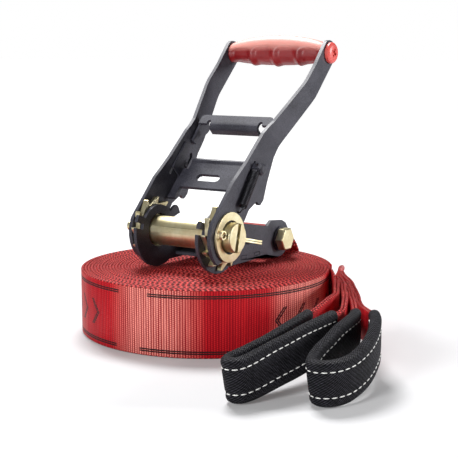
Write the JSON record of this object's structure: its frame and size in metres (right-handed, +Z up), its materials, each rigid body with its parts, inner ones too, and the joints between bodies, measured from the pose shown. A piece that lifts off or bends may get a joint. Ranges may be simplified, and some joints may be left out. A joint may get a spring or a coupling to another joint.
{
  "type": "slackline tensioner and webbing set",
  "caption": "Long-lever ratchet lying on a rolled webbing line, with a sling led round the roll and two sleeved end loops beside it.",
  "frame": {"origin": "bottom centre of the whole set, on the floor", "axes": "+X along the spool towards the end loops, +Y from the spool to the rear bolt, +Z up"},
  "size_m": [0.2864, 0.315, 0.2282],
  "materials": {
    "black_steel": "satin",
    "gold_zinc": "yellow zinc plated",
    "red_plastic": "moulded",
    "red_webbing": "woven",
    "black_fabric": "twill",
    "spring_steel": "blackened"
  },
  "bodies": {
    "base": {"webbing_roll": "red_webbing", "line_end_loop": "red_webbing", "line_sleeve": "black_fabric", "sling_drape": "red_webbing", "sling_stack": "red_webbing", "sling_end_loop": "red_webbing", "sling_sleeve": "black_fabric", "base_plate_left": "black_steel", "base_plate_right": "black_steel", "base_cross_web": "black_steel", "rear_bolt": "gold_zinc", "rear_nut": "gold_zinc", "bolt_sleeve": "gold_zinc", "bolt_washer_left": "black_steel", "bolt_washer_right": "black_steel", "lock_spring_left": "spring_steel", "lock_spring_right": "spring_steel"},
    "spool": {"spool_half_front": "gold_zinc", "spool_half_back": "gold_zinc", "ratchet_wheel_left": "gold_zinc", "ratchet_wheel_right": "gold_zinc", "retaining_washer_left": "gold_zinc", "retaining_washer_right": "gold_zinc", "cotter_pin_left": "gold_zinc", "cotter_pin_right": "gold_zinc"},
    "handle": {"handle_plate_left": "black_steel", "handle_plate_right": "black_steel", "handle_upper_web": "black_steel", "grip": "red_plastic", "grip_rod": "gold_zinc", "grip_cap_left": "red_plastic", "grip_cap_right": "red_plastic", "guide_screw_left": "black_steel", "guide_screw_right": "black_steel", "drive_spring_left": "spring_steel", "drive_spring_right": "spring_steel"},
    "drive_pawl_body": {"drive_pawl": "black_steel"},
    "lock_pawl_body": {"lock_pawl": "black_steel"}
  },
  "joints": [
    {"name": "handle_swing", "type": "hinge", "parent": "base", "child": "handle", "pos_m": [-0.04675, -0.03376, 0.0786], "axis": [1, 0, 0], "range_deg": [-30, 120]},
    {"name": "spool_spin", "type": "hinge", "parent": "base", "child": "spool", "pos_m": [-0.04675, -0.03376, 0.0786], "axis": [1, 0, 0], "continuous": true},
    {"name": "drive_pawl_slide", "type": "slide", "parent": "handle", "child": "drive_pawl_body", "axis": [0, 0.6964, 0.7176], "range_m": [-0.009, 0.001], "stiffness_N_per_m": 300, "springref_m": -0.012, "deforming": ["drive_spring_left", "drive_spring_right"]},
    {"name": "lock_pawl_slide", "type": "slide", "parent": "base", "child": "lock_pawl_body", "axis": [0, 0.9697, -0.2443], "range_m": [0, 0.006], "stiffness_N_per_m": 300, "springref_m": -0.005, "deforming": ["lock_spring_left", "lock_spring_right"]}
  ]
}
